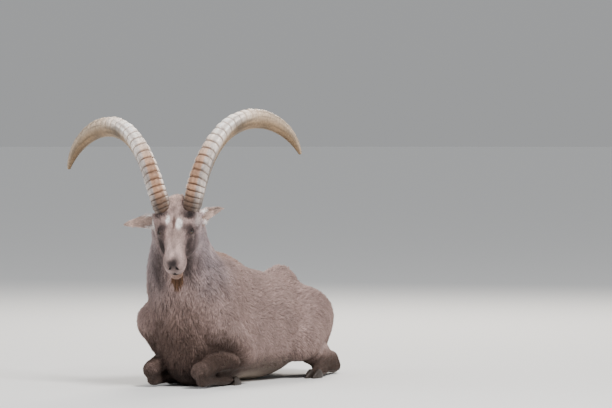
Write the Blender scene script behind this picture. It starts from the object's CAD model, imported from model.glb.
"""Looks of a resting alpine ibex, laid out as a Blender add-on and run as a script.

Shapes are planned in millimetres: the animal faces -Y, its left side is +X and the floor is z = 0.
"""

import math

import bmesh
import bpy
import numpy as np
from bpy.props import FloatProperty, FloatVectorProperty, IntProperty, PointerProperty
from mathutils import Matrix, Vector
from mathutils.kdtree import KDTree


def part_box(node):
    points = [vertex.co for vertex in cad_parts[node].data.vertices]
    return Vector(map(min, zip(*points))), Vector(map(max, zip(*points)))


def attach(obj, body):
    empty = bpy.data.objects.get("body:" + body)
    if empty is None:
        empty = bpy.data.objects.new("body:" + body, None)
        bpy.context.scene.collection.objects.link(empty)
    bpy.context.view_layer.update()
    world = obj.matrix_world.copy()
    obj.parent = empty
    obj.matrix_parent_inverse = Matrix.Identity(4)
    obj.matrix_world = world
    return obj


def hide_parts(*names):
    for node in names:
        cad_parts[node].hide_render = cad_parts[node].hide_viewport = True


bl_info = {
    "name": "Resting alpine ibex",
    "version": (1, 0, 0),
    "blender": (4, 5, 0),
    "location": "View3D > Sidebar > Ibex",
    "description": "Skin, coat, beard, horns, eyes and hooves of a resting ibex, and its stage",
    "category": "Add Mesh",
}

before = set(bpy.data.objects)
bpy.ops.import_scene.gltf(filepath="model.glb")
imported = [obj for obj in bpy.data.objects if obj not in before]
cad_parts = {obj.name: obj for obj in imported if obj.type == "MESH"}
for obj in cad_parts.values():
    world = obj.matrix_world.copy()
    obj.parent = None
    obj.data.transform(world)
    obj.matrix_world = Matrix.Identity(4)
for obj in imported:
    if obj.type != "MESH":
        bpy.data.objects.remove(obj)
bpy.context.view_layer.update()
MM = 0.001
SIDES = {"left": 1, "right": -1}


# Small helpers for arrays.

def arr(*values):
    return np.array(values, float)


def mix(a, b, share):
    return a + (b - a) * share


def eased(value, start, end):
    """A smooth step from 0 to 1 as value runs from start to end."""
    share = np.clip((value - start) / (end - start), 0.0, 1.0)
    return share * share * (3.0 - 2.0 * share)


def unit(v):
    return v / np.maximum(np.linalg.norm(v, axis=-1, keepdims=True), 1e-9)


def across_of(v, axis):
    """What is left of the vectors v once their part along the unit vectors axis is taken out."""
    return v - np.sum(v * axis, axis=-1, keepdims=True) * axis


def turn(axis, angle):
    return np.array(Matrix.Rotation(angle, 3, axis))


LATTICE = 32


def soft_noise(points, scale, seed):
    """Smooth random values in -1..1 over space, for blobs about as wide as scale."""
    lattice = np.random.default_rng(seed).uniform(-1.0, 1.0, (LATTICE,) * 3)
    base = np.floor(points / scale).astype(int)
    share = eased(points / scale - base, 0, 1)
    total = np.zeros(len(points))
    for corner in np.ndindex(2, 2, 2):
        weight = np.prod(np.where(corner, share, 1.0 - share), axis=1)
        total += weight * lattice[tuple(((base + corner) % LATTICE).T)]
    return total


def linear(colour):
    """Light values of display colours in 0..255."""
    c = np.clip(np.asarray(colour, float) / 255.0, 0.0, 1.0)
    return np.where(c <= 0.04045, c / 12.92, ((c + 0.055) / 1.055) ** 2.4)


# Frames of the head. Face coordinates: x to the animal's left, y out of the face, z down along it.

HEAD_PLACE = arr(58, -590, 620)
HEAD_TURN = math.radians(19)
HEAD_ROLL = math.radians(0.5)
FACE_LEAN = math.radians(27)
LEVEL_HEAD = turn("Z", HEAD_TURN) @ turn("Y", -HEAD_ROLL)
FACE_AXES = LEVEL_HEAD @ np.column_stack([
    (1, 0, 0),
    (0, -math.cos(FACE_LEAN), math.sin(FACE_LEAN)),
    (0, -math.sin(FACE_LEAN), -math.cos(FACE_LEAN)),
])

EYE_RADIUS = 16.0
EYE_AT = arr(42, -30, 84)
EYE_GAZE = arr(0.88, 0.43, 0.2)
EYE_SLANT = arr(0, 0.45, 1.0)
LID = 3.2
LID_TOP = EYE_RADIUS + LID


def face_point(q):
    return HEAD_PLACE + np.asarray(q, float) @ FACE_AXES.T


def to_face(p):
    return (p - HEAD_PLACE) @ FACE_AXES


def mirrored(v, sign):
    """Vectors of the left side as they are, or turned over to the right where sign is -1."""
    return v * arr(sign, 1, 1)


def eye_centre(sign):
    return face_point(mirrored(EYE_AT, sign))


def eye_axes(sign):
    """Columns: along the lids towards the nose, up towards the brow, and the gaze."""
    gaze = unit(mirrored(EYE_GAZE, sign))
    along = unit(across_of(EYE_SLANT, gaze))
    brow = np.cross(along, gaze) * sign
    return FACE_AXES @ np.column_stack([along, brow, gaze])


def plan_shift():
    """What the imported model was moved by, in millimetres, found from the place of the left eye."""
    low, high = (np.array(corner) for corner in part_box("eye_left"))
    return (low + high) / 2 / MM - eye_centre(1)


PLAN_SHIFT = plan_shift() * arr(1, 1, 0)


def to_row(p):
    return (p + PLAN_SHIFT) * MM


def to_plan(p):
    return p / MM - PLAN_SHIFT


# The masses of the body under the coat, each a distance function and how softly it joins.

def ball(at, radii, blend=40.0, paired=False):
    at, radii = np.array(at, float), np.array(radii, float)

    def distance(p):
        q = both_sides(p, paired) - at
        near = np.linalg.norm(q / radii, axis=1)
        far = np.linalg.norm(q / radii ** 2, axis=1)
        return near * (near - 1.0) / np.maximum(far, 1e-9)

    return distance, blend


def rod(start, start_radius, end, end_radius, blend=40.0, paired=False):
    start, end = np.array(start, float), np.array(end, float)
    axis = end - start

    def distance(p):
        q = both_sides(p, paired) - start
        share = np.clip(q @ axis / (axis @ axis), 0.0, 1.0)
        return np.linalg.norm(q - share[:, None] * axis, axis=1) - mix(start_radius, end_radius, share)

    return distance, blend


def both_sides(p, paired):
    return np.column_stack([np.abs(p[:, 0]), p[:, 1:]]) if paired else p


def smooth_union(a, b, blend):
    overlap = np.maximum(blend - np.abs(a - b), 0.0) / blend
    return np.minimum(a, b) - overlap * overlap * blend / 4.0


def blended(masses, p):
    total = np.full(len(p), 1e3)
    for distance, blend in masses:
        total = smooth_union(total, distance(p), blend)
    return total


TRUNK_MASSES = [
    ball((0, -200, 212), (156, 250, 214)),
    ball((0, -330, 182), (118, 150, 188), 70),
    ball((0, -262, 354), (46, 170, 86), 70),
    ball((0, 50, 176), (194, 300, 180), 60),
    rod((0, -190, 350), 76, (0, 235, 284), 66, 50),
    ball((0, 330, 222), (128, 160, 118), 60),
    ball((0, 335, 310), (44, 108, 76), 40),
    rod((72, -250, 380), 40, (112, -380, 225), 68, 30, True),
    rod((116, -385, 210), 64, (128, -245, 112), 58, 26, True),
    rod((96, 340, 205), 102, (168, 150, 138), 78, 30, True),
    ball((84, 385, 168), (80, 92, 128), 34, True),
    ball((40, -395, 338), (98, 98, 108), 50, True),
    rod((-4, -290, 308), 126, (-18, -398, 425), 98, 60),
    rod((-18, -398, 425), 96, (12, -480, 532), 92, 50),
]

HEAD_MASSES = [
    ball((0, -64, 6), (58, 60, 71), 30),
    ball((0, -40, 56), (54, 36, 62), 30),
    ball((48, -46, 28), (32, 38, 38), 16, True),
    ball((42, -31, 82), (22, 20, 26), 18, True),
    rod((0, -44, 84), 42, (0, -42, 176), 30, 24),
    rod((15, -26, 100), 20, (13, -28, 180), 16, 14, True),
    ball((33, -86, 88), (25, 44, 58), 26, True),
    rod((0, -104, 62), 32, (0, -84, 188), 20, 26),
    ball((0, -48, 190), (37, 34, 34), 22),
    ball((15, -27, 206), (14, 13, 17), 9, True),
    ball((0, -32, 217), (14, 15, 12), 8),
    ball((14, -56, 208), (17, 17, 17), 9, True),
    ball((0, -93, 208), (22, 19, 21), 12),
]


def body_distance(p):
    return smooth_union(blended(TRUNK_MASSES, p), blended(HEAD_MASSES, to_face(p)), 48.0)


def body_slope(p, step=1.0):
    """The direction straight out of the body's surface at each point."""
    slope = np.empty_like(p)
    for axis in range(3):
        shift = np.zeros(3)
        shift[axis] = step
        slope[:, axis] = body_distance(p + shift) - body_distance(p - shift)
    return unit(slope)


def settled(p, level, rounds):
    """The points moved straight onto the surface that lies at level from the body's own."""
    for _ in range(rounds):
        p = p + body_slope(p) * (level - body_distance(p))[:, None]
    return p


# Legs: the joints of the left ones, with small shifts so that the right ones lie differently.

LEGS = {
    "fore": {"elbow": (138, -236, 118), "knee": (98, -508, 58),
             "fetlock": (104, -338, 22), "toe": (110, -222, 12)},
    "hind": {"stifle": (176, 132, 138), "hock": (150, 448, 48),
             "fetlock": (196, 250, 22), "toe": (206, 134, 12)},
}
LEG_SHIFT = {
    ("left", "fore"): (0, 0, 0),
    ("left", "hind"): (0, 0, 0),
    ("right", "fore"): (-6, 22, 0),
    ("right", "hind"): (-14, 34, 0),
}


def leg_points(side, pair):
    shift = LEG_SHIFT[side, pair]
    return [mirrored(np.array(at) + shift, SIDES[side]) for at in LEGS[pair].values()]


# The ears, in the level head's own directions.

EAR_LENGTH = 130.0
EAR_HALF_WIDTH = 22.0
EAR_WALL = 3.2
EAR_TIP_WALL = 2.0
EAR_DROOP = 9.0
EAR_CUP = 9.0
EAR_CURL = (158, 48)
EAR_OPENING = (0.25, -0.93, -0.2)
EAR_ROOT = {"left": (54, -68, 20), "right": (-56, -68, 18)}
EAR_LIFT = {"left": math.radians(10), "right": math.radians(-13)}
EAR_BACK = {"left": math.radians(49), "right": math.radians(9)}


def ear_frame(side):
    """The root of the ear, then its directions to the tip, out of the cup, and upward."""
    lift, back, sign = EAR_LIFT[side], EAR_BACK[side], SIDES[side]
    level = math.cos(lift)
    along = LEVEL_HEAD @ arr(sign * level * math.cos(back), level * math.sin(back), math.sin(lift))
    opening = unit(across_of(LEVEL_HEAD @ mirrored(EAR_OPENING, sign), along))
    return face_point(EAR_ROOT[side]), along, opening, np.cross(along, opening) * sign


# How the coat lies at each guide: place, direction, length, width and lift in degrees.

BODY_LIE = [
    ((0, -250, 455), (0, 1, -0.1), 26, 3.4, 17),
    ((0, 0, 445), (0, 1, 0), 26, 3.6, 15),
    ((0, 250, 395), (0, 1, -0.1), 26, 3.6, 15),
    ((0, 400, 370), (0, 0.9, -0.4), 26, 3.6, 16),
    ((0, 480, 250), (0, 0.1, -1), 26, 3.6, 16),
    ((120, -380, 320), (0.1, 0.45, -0.9), 28, 3.6, 17),
    ((150, -300, 200), (0.05, 0.5, -0.9), 24, 3.6, 15),
    ((150, -400, 120), (0, 0.3, -1), 24, 3.6, 15),
    ((160, -120, 320), (0.1, 0.85, -0.5), 25, 3.6, 15),
    ((190, 40, 240), (0, 0.85, -0.5), 25, 3.8, 15),
    ((190, 60, 90), (0, 0.9, -0.4), 28, 4.0, 16),
    ((160, 200, 320), (0.1, 0.85, -0.55), 24, 3.6, 15),
    ((220, 230, 200), (0.1, 0.5, -0.85), 22, 3.6, 14),
    ((200, 400, 200), (0, 0.25, -1), 22, 3.6, 14),
    ((110, 470, 160), (-0.1, 0.1, -1), 24, 3.6, 15),
    ((0, -470, 260), (0, -0.05, -1), 34, 3.8, 18),
    ((0, -440, 90), (0, 0.5, -0.9), 32, 4.0, 18),
    ((80, -480, 400), (0.1, 0.15, -1), 32, 3.2, 17),
    ((100, -380, 450), (0.1, 0.45, -0.9), 32, 3.2, 17),
    ((20, -330, 560), (0, 0.75, -0.7), 30, 3.2, 18),
    ((90, -440, 540), (0.05, 0.3, -1), 28, 2.8, 16),
    ((0, -530, 470), (0, 0.1, -1), 32, 3.2, 18),
]

FACE_LIE = [
    ((0, -8, 170), (0, 0, -1), 6, 1.5, 7),
    ((0, 0, 110), (0, 0, -1), 7, 1.6, 7),
    ((14, 0, 50), (0.25, -0.1, -1), 7, 1.7, 8),
    ((48, -6, 32), (0.25, 0.5, -0.82), 14, 2.0, 24),
    ((20, -14, 10), (0.4, 0.3, -0.85), 14, 2.0, 20),
    ((72, -44, 18), (0.3, 0.4, -0.85), 15, 2.0, 28),
    ((48, -88, -6), (0.2, -0.1, -0.95), 16, 2.2, 26),
    ((0, -14, -10), (0, -0.5, -0.9), 15, 2.2, 18),
    ((0, -60, -60), (0, -1, -0.2), 26, 2.6, 20),
    ((46, -40, 40), (0.5, -0.7, -0.5), 8, 1.7, 9),
    ((48, -52, 100), (0.2, -0.6, -0.8), 7, 1.6, 7),
    ((50, -80, 60), (0.3, -0.8, -0.5), 12, 2.0, 10),
    ((34, -100, 130), (0.1, -0.6, -0.8), 10, 1.8, 10),
    ((0, -124, 110), (0, -0.4, -0.9), 18, 2.2, 16),
    ((30, -50, 160), (0.15, -0.4, -0.9), 6, 1.5, 7),
    ((22, -40, 212), (0.3, -0.5, -0.7), 3.5, 1.2, 8),
    ((0, -104, 208), (0, -0.9, -0.3), 8, 1.6, 14),
    ((0, -20, 226), (0, 0.3, -1), 2.5, 1.1, 7),
]

LEG_LIE = (13, 2.5, 9)
FOOT_LIE = (8, 2.1, 8)
EAR_LIE = (8, 1.7, 7)
TAIL_LIE = (34, 3.4, 16)
LEG_GUIDES = (0.25, 0.55, 0.85)
EAR_GUIDES = (0.15, 0.4, 0.65, 0.9)
TAIL_GUIDES = [(6, 497, z) for z in (320, 270, 220, 180)]
TAIL_WAY = (0, 0.15, -1)
GUIDE_REACH = 22.0
GUIDED_AT_ONCE = 20000
COAT_FILL = 0.85


def coat_guides():
    """Places, directions and sizes of all the guides, both sides, in plan millimetres."""
    rows = []
    for lie, facial in ((BODY_LIE, False), (FACE_LIE, True)):
        for at, way, *sizes in lie:
            for sign in (1, -1) if at[0] else (1,):
                place, direction = mirrored(at, sign), mirrored(way, sign)
                if facial:
                    place, direction = face_point(place), FACE_AXES @ direction
                rows.append((place, direction, sizes))
    for side in SIDES:
        for pair in LEGS:
            joints = leg_points(side, pair)
            for i, (start, end) in enumerate(zip(joints, joints[1:])):
                for share in LEG_GUIDES:
                    rows.append((mix(start, end, share), end - start, FOOT_LIE if i else LEG_LIE))
        root, along, _, _ = ear_frame(side)
        for share in EAR_GUIDES:
            rows.append((root + along * EAR_LENGTH * share, along, EAR_LIE))
    for at in TAIL_GUIDES:
        rows.append((at, TAIL_WAY, TAIL_LIE))
    places, ways, sizes = (np.array(column, float) for column in zip(*rows))
    return places, unit(ways), sizes


GUIDES = coat_guides()


def coat_lie(p):
    """The direction, length, width and lift of the coat at each point, shared from the near guides."""
    places, ways, sizes = GUIDES
    way, size = np.empty((len(p), 3)), np.empty((len(p), 3))
    for start in range(0, len(p), GUIDED_AT_ONCE):
        part = slice(start, start + GUIDED_AT_ONCE)
        gap = ((p[part, None, :] - places[None]) ** 2).sum(axis=2)
        weight = 1.0 / (gap + GUIDE_REACH ** 2) ** 2
        weight /= weight.sum(axis=1, keepdims=True)
        way[part] = weight @ ways
        size[part] = weight @ sizes
    return unit(way), size[:, 0], size[:, 1], size[:, 2]


def coat_depth(p):
    """How far the skin lies inside the outline, so that the tips of the coat reach it."""
    _, length, _, lift = coat_lie(p)
    return length * np.sin(np.radians(lift)) * COAT_FILL


# Markings: frame, centre, radii, colour, softness of the edge and strength. The later lie on top.

COAT_BASE = arr(173, 148, 142)
MARKINGS = [
    ("body", (0, 60, 470), (70, 420, 60), (160, 124, 104), 0.7, 0.8),
    ("body", (0, 80, 20), (150, 330, 90), (206, 192, 176), 0.5, 0.9),
    ("body", (0, -440, 120), (120, 110, 150), (80, 62, 54), 0.6, 0.75),
    ("body", (140, -400, 90), (70, 130, 80), (74, 58, 51), 0.6, 0.85),
    ("body", (-140, -400, 90), (70, 130, 80), (74, 58, 51), 0.6, 0.85),
    ("body", (0, -380, 20), (190, 200, 60), (60, 47, 42), 0.5, 0.9),
    ("body", (0, 330, 20), (260, 230, 60), (64, 51, 44), 0.5, 0.9),
    ("body", (0, 500, 280), (46, 40, 60), (196, 178, 160), 0.5, 0.8),
    ("body", (0, 520, 200), (60, 46, 60), (60, 46, 39), 0.6, 0.9),
    ("body", (110, -440, 480), (60, 130, 130), (170, 156, 160), 0.8, 0.85),
    ("body", (-80, -480, 470), (60, 130, 130), (160, 146, 148), 0.8, 0.85),
    ("body", (48, -480, 432), (30, 62, 52), (76, 64, 63), 0.8, 0.7),
    ("body", (-48, -492, 420), (24, 62, 56), (76, 64, 63), 0.8, 0.65),
    ("face", (0, 0, 46), (52, 44, 50), (184, 160, 153), 0.6, 0.6),
    ("face", (0, -10, 160), (30, 30, 38), (202, 176, 170), 0.5, 0.9),
    ("face", (4, -10, 112), (20, 26, 44), (172, 148, 141), 0.6, 0.7),
    ("face", (-50, -58, 136), (20, 46, 62), (52, 41, 40), 0.75, 0.95),
    ("face", (52, -58, 136), (23, 46, 62), (52, 41, 40), 0.75, 0.95),
    ("face", (60, -70, 116), (12, 30, 24), (118, 102, 102), 0.8, 0.75),
    ("face", (-53, 6, 33), (24, 30, 14), (36, 28, 28), 0.6, 0.95),
    ("face", (44, 6, 34), (24, 30, 15), (36, 28, 28), 0.6, 0.95),
    ("face", (-24, 0, 57), (7.5, 30, 18), (255, 248, 246), 0.35, 0.95),
    ("face", (13, 0, 73), (9.5, 30, 22), (255, 248, 246), 0.35, 0.95),
    ("face", (-4, 0, 68), (4.5, 30, 24), (92, 68, 62), 0.5, 0.75),
    ("face", (68, -34, 44), (9, 24, 18), (214, 200, 196), 0.7, 0.75),
    ("face", (-46, -24, 84), (22, 30, 16), (58, 46, 45), 0.8, 0.85),
    ("face", (46, -24, 84), (22, 30, 16), (58, 46, 45), 0.8, 0.85),
    ("face", (-60, -36, 102), (11, 22, 5), (170, 156, 150), 0.8, 0.6),
    ("face", (62, -36, 102), (11, 22, 5), (170, 156, 150), 0.8, 0.6),
    ("face", (0, -44, 205), (36, 34, 24), (134, 119, 116), 0.6, 0.8),
    ("face", (-2, -22, 211), (17, 22, 15), (34, 27, 27), 0.7, 0.9),
    ("face", (0, -56, 228), (22, 8, 12), (128, 114, 111), 0.6, 0.8),
    ("face", (0, -96, 186), (28, 24, 36), (128, 86, 56), 0.6, 0.85),
    ("face", (0, -30, -20), (44, 40, 34), (202, 176, 167), 0.7, 0.8),
]
EAR_OUTSIDE = arr(188, 164, 154)
EAR_INSIDE = arr(255, 244, 240)
LEG_DARK = arr(62, 49, 42)
MARKING_RAGGEDNESS = 0.2


def near_ear(p):
    """How surely each point is on an ear, and how far its place is inside the cup."""
    on_ear, inside = np.zeros(len(p)), np.zeros(len(p))
    for side in SIDES:
        root, along, opening, upward = ear_frame(side)
        q = p - root
        reach = q @ along
        high = q @ upward + EAR_DROOP * (reach / EAR_LENGTH) ** 2
        off = np.hypot(q @ opening, high)
        here = eased(reach, 12, 30) * (1 - eased(off, 30, 38)) * (reach < EAR_LENGTH + 20)
        middle = high / EAR_HALF_WIDTH
        cup = eased(q @ opening + EAR_CUP - EAR_CUP * middle ** 2, -1.5, 1.5) * (1 - eased(reach, 80, 115))
        inside = np.where(here > on_ear, cup, inside)
        on_ear = np.maximum(on_ear, here)
    return on_ear, inside


def coat_colour(p):
    """The colour of the coat and the skin at each point, as light values."""
    colour = np.tile(COAT_BASE, (len(p), 1))
    q = to_face(p)
    ragged = soft_noise(p, 12.0, 3) + 0.6 * soft_noise(p, 5.0, 4)
    for place, at, radii, tint, soft, strength in MARKINGS:
        where = q if place == "face" else p
        near = np.linalg.norm((where - arr(*at)) / arr(*radii), axis=1) + MARKING_RAGGEDNESS * ragged
        weight = strength * (1 - eased(near, 1 - soft, 1 + soft))
        colour = mix(colour, arr(*tint), weight[:, None])
    lower = eased(-p[:, 2], -120, -40)[:, None] * 0.6
    colour = mix(colour, LEG_DARK, lower * eased(np.abs(p[:, 0]), 60, 110)[:, None])
    on_ear, inside = near_ear(p)
    colour = mix(colour, mix(EAR_OUTSIDE, EAR_INSIDE, inside[:, None]), on_ear[:, None])
    streak = soft_noise(p * arr(1.0, 1.0, 0.22), 13.0, 5) + 0.6 * soft_noise(p * arr(1, 0.5, 0.5), 40.0, 6)
    neck = eased(-p[:, 1], 260, 360) * eased(p[:, 2], 300, 380)
    return linear(colour * (1 + (0.07 + 0.12 * neck) * streak)[:, None])


# Relief of the face, in millimetres: oval swellings and hollows, then the nostrils and the mouth.

FACE_RELIEF = [
    ((40, -8, 62), (20, 16, 9), 4.0),
    ((50, -24, 58), (14, 16, 9), 3.0),
    ((50, -46, 66), (12, 14, 16), -2.5),
    ((46, -26, 112), (12, 14, 9), -2.0),
    ((36, -20, 128), (8, 12, 26), 2.2),
    ((33, -46, 140), (12, 18, 24), -3.0),
    ((42, -84, 96), (14, 30, 30), 3.0),
    ((0, 0, 60), (10, 20, 34), -1.6),
    ((17, 0, 60), (12, 20, 22), 2.2),
    ((26, -44, 196), (10, 16, 14), 2.0),
    ((0, -62, 222), (3, 10, 12), -1.8),
    ((11, -66, 222), (9, 8, 10), 1.8),
    ((0, -84, 216), (14, 8, 10), 1.6),
]
NOSTRIL_AT = arr(12.5, -25, 218)
NOSTRIL_TURN = math.radians(38)
NOSTRIL_RADII = arr(3.6, 8.0, 9.0)
NOSTRIL_DEPTH = 8.0
NOSTRIL_RIM = 1.4
MOUTH_LINE = arr((-70.5, 246), (-71, 214), (-74, 196), (-72, 170), (-68, 156))
MOUTH_DEPTH = 3.6
MOUTH_HALF_WIDTH = 2.0
LIPS_RISE = 1.1


def nostril_nearness(q):
    """1 at the middle of a nostril, 0 and less outside it."""
    x = np.abs(q[:, 0]) - NOSTRIL_AT[0]
    y, z = q[:, 1] - NOSTRIL_AT[1], q[:, 2] - NOSTRIL_AT[2]
    c, s = math.cos(NOSTRIL_TURN), math.sin(NOSTRIL_TURN)
    local = np.column_stack([c * x + s * y, c * y - s * x, z])
    return 1 - np.linalg.norm(local / NOSTRIL_RADII, axis=1)


def mouth_distance(q):
    """The distance from the line of the mouth, seen from the side."""
    flat = q[:, 1:]
    best = np.full(len(q), 1e3)
    for start, end in zip(MOUTH_LINE, MOUTH_LINE[1:]):
        axis = end - start
        share = np.clip((flat - start) @ axis / (axis @ axis), 0, 1)
        best = np.minimum(best, np.linalg.norm(flat - start - share[:, None] * axis, axis=1))
    return best


def face_relief(q):
    """How far the skin stands out at each place of the face."""
    rise = np.zeros(len(q))
    for at, radii, height in FACE_RELIEF:
        local = both_sides(q, at[0] != 0) - arr(*at)
        rise += height * np.exp(-np.sum((local / arr(*radii)) ** 2, axis=1))
    nostril = nostril_nearness(q)
    rise += NOSTRIL_RIM * eased(nostril, -0.9, -0.15) * (1 - eased(nostril, -0.15, 0.1))
    rise -= NOSTRIL_DEPTH * eased(nostril, 0.0, 0.6)
    gap = mouth_distance(q)
    rise += LIPS_RISE * (1 - eased(gap, 2.0, 8.0))
    rise -= (MOUTH_DEPTH + LIPS_RISE) * (1 - eased(gap, 0.4, MOUTH_HALF_WIDTH + 0.8))
    return rise


# The opening between the lids, on the eye's own plane.

LID_HALF_LENGTH = 13.0
UPPER_LID_HEIGHT = 6.8
LOWER_LID_HEIGHT = 5.0
LID_RIM = 2.4
LID_SEAT = 0.3
LID_FOLD = 6.5
LID_REACH = 44.0
NO_EYE = 99.0


def lid_distance(u, v):
    """Roughly how far a place is outside the opening of the lids, negative within it."""
    high = np.where(v > 0, UPPER_LID_HEIGHT, LOWER_LID_HEIGHT)
    span = np.abs(u) / LID_HALF_LENGTH
    return (np.sqrt(span ** 2.4 + (v / high) ** 2) - 1.0) * 9.0


def with_lids(p):
    """Skin near the eyes drawn into lids round each eyeball and down behind their rims."""
    p = p.copy()
    seat = EYE_RADIUS + LID_SEAT
    for sign in SIDES.values():
        centre, axes = eye_centre(sign), eye_axes(sign)
        local = (p - centre) @ axes
        reach = np.linalg.norm(local, axis=1)
        near = (reach < LID_REACH) & (local[:, 2] > 0)
        way = local[near] / reach[near, None]
        u, v = way[:, 0] * LID_TOP, way[:, 1] * LID_TOP
        gap = lid_distance(u, v)
        fold = np.exp(-((gap - LID_FOLD) / 1.6) ** 2) * (v > -2)
        rim = np.clip((LID_RIM - gap) / LID_RIM, 0, 1)
        lid = seat + (LID - LID_SEAT) * np.sqrt(1 - rim ** 2)
        lid = np.where(gap < 0, seat - 3.0 * eased(-gap, 0.0, 1.4), lid)
        share = eased(gap, 2.5, 13.0) + (1 - eased(local[near, 2], 0.0, 6.0))
        natural = np.maximum(reach[near], seat)
        target = mix(lid, natural, np.clip(share, 0, 1)) - fold
        p[near] = centre + (way * target[:, None]) @ axes.T
    return p


def eye_gap(p):
    """How far each point is from the nearest opening of the lids, large away from the eyes."""
    best = np.full(len(p), NO_EYE)
    for sign in SIDES.values():
        local = (p - eye_centre(sign)) @ eye_axes(sign)
        reach = np.linalg.norm(local, axis=1)
        way = local / np.maximum(reach, 1e-6)[:, None] * LID_TOP
        gap = np.where((reach < 40) & (local[:, 2] > 0), lid_distance(way[:, 0], way[:, 1]), NO_EYE)
        best = np.minimum(best, gap)
    return best


# Meshes from arrays.

def linked(name, mesh, material=None, colours=None):
    """A new object in the scene with this mesh, shaded smooth, in its material and colours."""
    mesh.polygons.foreach_set("use_smooth", np.ones(len(mesh.polygons), bool))
    if colours is not None:
        set_colours(mesh, colours)
    if material:
        mesh.materials.append(material)
    obj = bpy.data.objects.new(name, mesh)
    bpy.context.scene.collection.objects.link(obj)
    return obj


def from_form(name, form):
    """A new object in the scene from a bmesh, which is then freed."""
    mesh = bpy.data.meshes.new(name)
    form.to_mesh(mesh)
    form.free()
    return linked(name, mesh)


def triangle_object(name, points, triangles, material, colours):
    """A new object from plan millimetres and rows of three corners."""
    mesh = bpy.data.meshes.new(name)
    mesh.vertices.add(len(points))
    mesh.vertices.foreach_set("co", to_row(points).astype(np.float32).ravel())
    mesh.loops.add(triangles.size)
    mesh.loops.foreach_set("vertex_index", triangles.astype(np.int32).ravel())
    mesh.polygons.add(len(triangles))
    mesh.polygons.foreach_set("loop_start", np.arange(0, triangles.size, 3, dtype=np.int32))
    mesh.update(calc_edges=True)
    mesh.validate()
    return linked(name, mesh, material, colours)


def set_colours(mesh, colours):
    layer = mesh.color_attributes.new("coat_colour", "FLOAT_COLOR", "POINT")
    rgba = np.ones((len(mesh.vertices), 4), np.float32)
    rgba[:, :3] = colours
    layer.data.foreach_set("color", rgba.ravel())


def set_uv(mesh, uv_of_vertex):
    layer = mesh.uv_layers.new(name="OFBake")
    corner = read(mesh.loops, "vertex_index", 1, np.int32)[:, 0]
    layer.data.foreach_set("uv", uv_of_vertex[corner].astype(np.float32).ravel())


def set_points(mesh, points):
    mesh.vertices.foreach_set("co", to_row(points).astype(np.float32).ravel())
    mesh.update()


def read(items, field, width, kind=np.float32):
    """A field of all the items of a mesh, one row for each."""
    flat = np.empty(len(items) * width, kind)
    items.foreach_get(field, flat)
    return flat.reshape(-1, width)


def mesh_points(mesh):
    return to_plan(read(mesh.vertices, "co", 3).astype(float))


def mesh_normals(mesh):
    return read(mesh.vertices, "normal", 3).astype(float)


def mesh_edges(mesh):
    return read(mesh.edges, "vertices", 2, np.int32)


def relaxed(points, edges, weight, rounds):
    """Points drawn towards the middle of their neighbours, as far as weight says."""
    count = np.maximum(np.bincount(edges.ravel(), minlength=len(points)), 1)[:, None]
    for _ in range(rounds):
        total = np.zeros_like(points)
        for axis in range(3):
            total[:, axis] = (np.bincount(edges[:, 0], points[edges[:, 1], axis], len(points))
                              + np.bincount(edges[:, 1], points[edges[:, 0], axis], len(points)))
        points = mix(points, total / count, weight[:, None])
    return points


def ring_faces(rings, count):
    """Quads between rings that follow one another, each of count points."""
    i, j = np.meshgrid(np.arange(rings - 1), np.arange(count), indexing="ij")
    a = (i * count + j).ravel()
    b = (i * count + (j + 1) % count).ravel()
    return np.column_stack([a, b, b + count, a + count])


def tube_object(name, rings, start, end, material=None, colours=None):
    """A closed tube over rings of points, with a pole at each end."""
    rings = np.asarray(rings, float)
    count = rings.shape[1]
    points = np.vstack([rings.reshape(-1, 3), start, end])
    first, last = len(points) - 2, len(points) - 1
    j = np.arange(count)
    offset = (len(rings) - 1) * count
    start_cap = np.column_stack([(j + 1) % count, j, np.full(count, first)])
    end_cap = np.column_stack([offset + j, offset + (j + 1) % count, np.full(count, last)])
    faces = [*ring_faces(len(rings), count).tolist(), *start_cap.tolist(), *end_cap.tolist()]
    mesh = bpy.data.meshes.new(name)
    mesh.from_pydata(to_row(points).tolist(), [], faces)
    form = bmesh.new()
    form.from_mesh(mesh)
    bmesh.ops.recalc_face_normals(form, faces=form.faces)
    form.to_mesh(mesh)
    form.free()
    return linked(name, mesh, material, colours)


def joined(name, objects):
    """One new object of all the meshes given, whose own objects are then removed."""
    form = bmesh.new()
    for obj in objects:
        form.from_mesh(obj.data)
        bpy.data.objects.remove(obj)
    return from_form(name, form)


def remeshed(obj, voxel):
    """The object as one closed smooth surface of even quads, in a new mesh."""
    modifier = obj.modifiers.new("Even quads", "REMESH")
    modifier.mode = "VOXEL"
    modifier.voxel_size = voxel
    modifier.use_smooth_shade = True
    ready = obj.evaluated_get(bpy.context.evaluated_depsgraph_get())
    mesh = bpy.data.meshes.new_from_object(ready)
    obj.modifiers.clear()
    obj.data = mesh
    return obj


def finish_piece(obj, slot, *nodes):
    """Ties a finished piece to the model: the body, the slot and the nodes it stands for."""
    obj.data.update()
    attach(obj, "root")
    if nodes:
        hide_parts(*nodes)


# Skin: the flesh as one surface, finer on the head, then drawn onto the masses and sculpted.

FLESH = ["neck", "torso", "tail"] + [
    f"{part}_{side}"
    for part in ("upper_arm", "forearm", "cannon_front", "thigh", "shank", "cannon_hind")
    for side in SIDES
]
SWELL = 0.8
HEAD_RAY_LIMIT = 128.0
HEAD_RINGS = 64
HEAD_RING_POINTS = 72
HEAD_LOWEST = 222.0
HEAD_HEIGHT = 268.0
EAR_RINGS = 40
EAR_RING_HALF = 16
BARE_DARK = arr(26, 21, 21)
LID_DARK = arr(38, 29, 28)
MOUTH_DARK = arr(22, 16, 16)


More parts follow.
